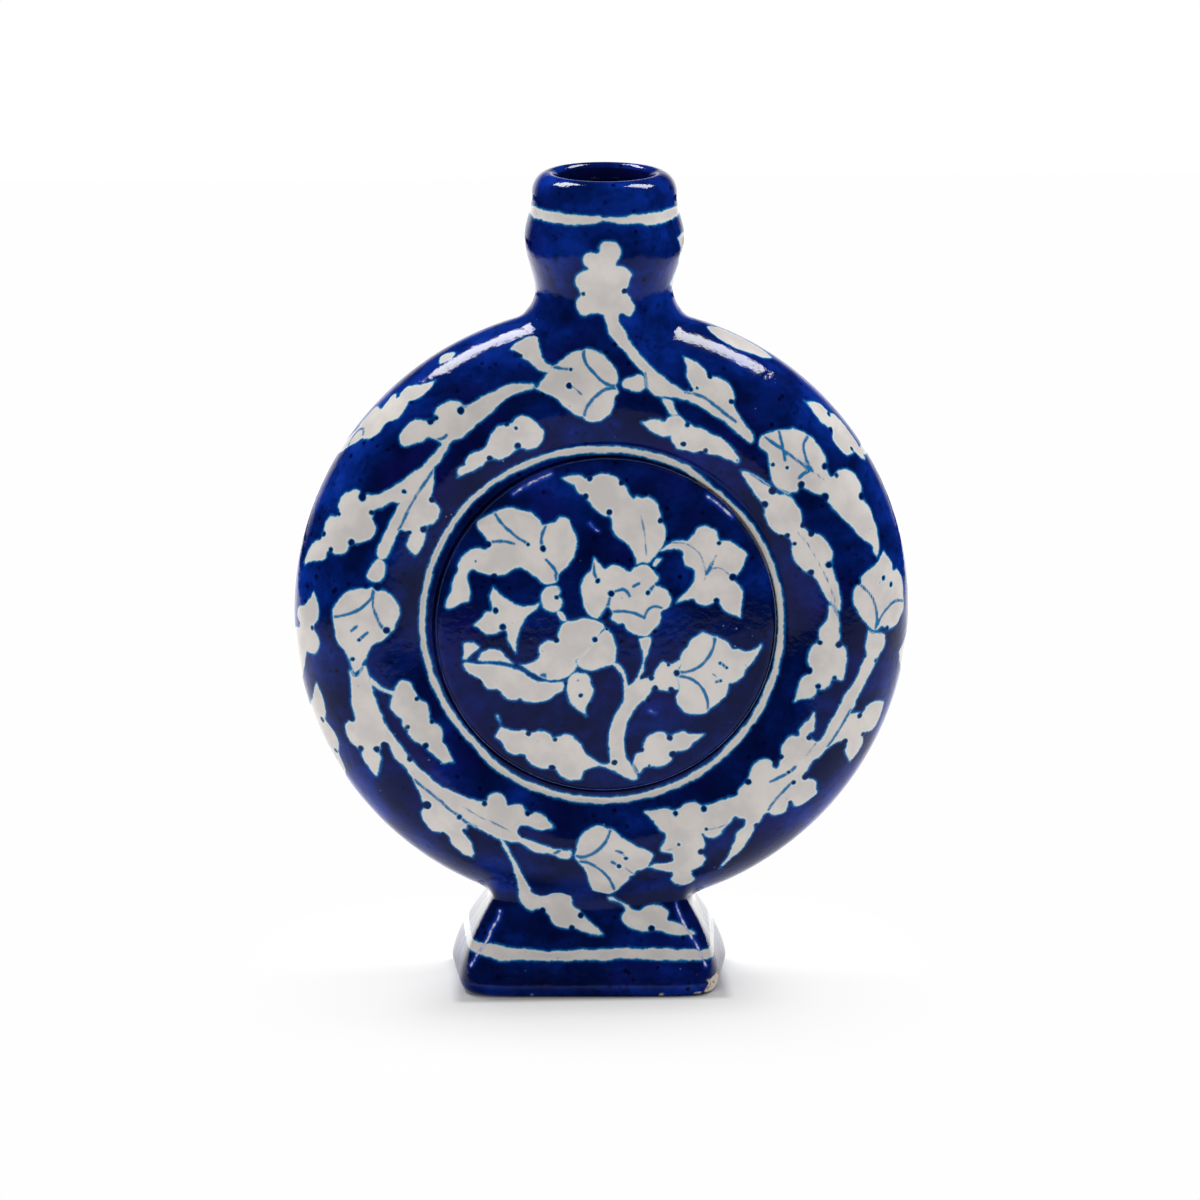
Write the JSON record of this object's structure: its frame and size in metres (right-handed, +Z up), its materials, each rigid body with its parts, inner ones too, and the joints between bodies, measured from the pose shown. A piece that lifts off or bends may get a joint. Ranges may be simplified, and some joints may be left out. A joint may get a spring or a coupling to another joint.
{
  "type": "flat bottle vase",
  "caption": "Flat round bottle vase: a disc body with a raised round medallion on each face, a short waisted neck with a rolled lip, and a flared hollow foot.",
  "frame": {"origin": "on the ground, under the middle of the body's width and thickness", "axes": "+Z up through the neck, +Y from the front face to the back face, +X to the right as seen from the front"},
  "size_m": [0.166, 0.045, 0.2215],
  "materials": {
    "cobalt_glazed_earthenware": "cobalt blue with a white reserved floral scroll under a clear glossy glaze",
    "luting_slip": "fired pale clay slip"
  },
  "bodies": {
    "root": {"front_shell": "cobalt_glazed_earthenware", "back_shell": "cobalt_glazed_earthenware", "front_medallion": "cobalt_glazed_earthenware", "back_medallion": "cobalt_glazed_earthenware", "neck": "cobalt_glazed_earthenware", "foot": "cobalt_glazed_earthenware", "body_seam_slip": "luting_slip", "front_medallion_slip": "luting_slip", "back_medallion_slip": "luting_slip", "neck_joint_slip": "luting_slip", "foot_joint_slip": "luting_slip"}
  },
  "joints": []
}
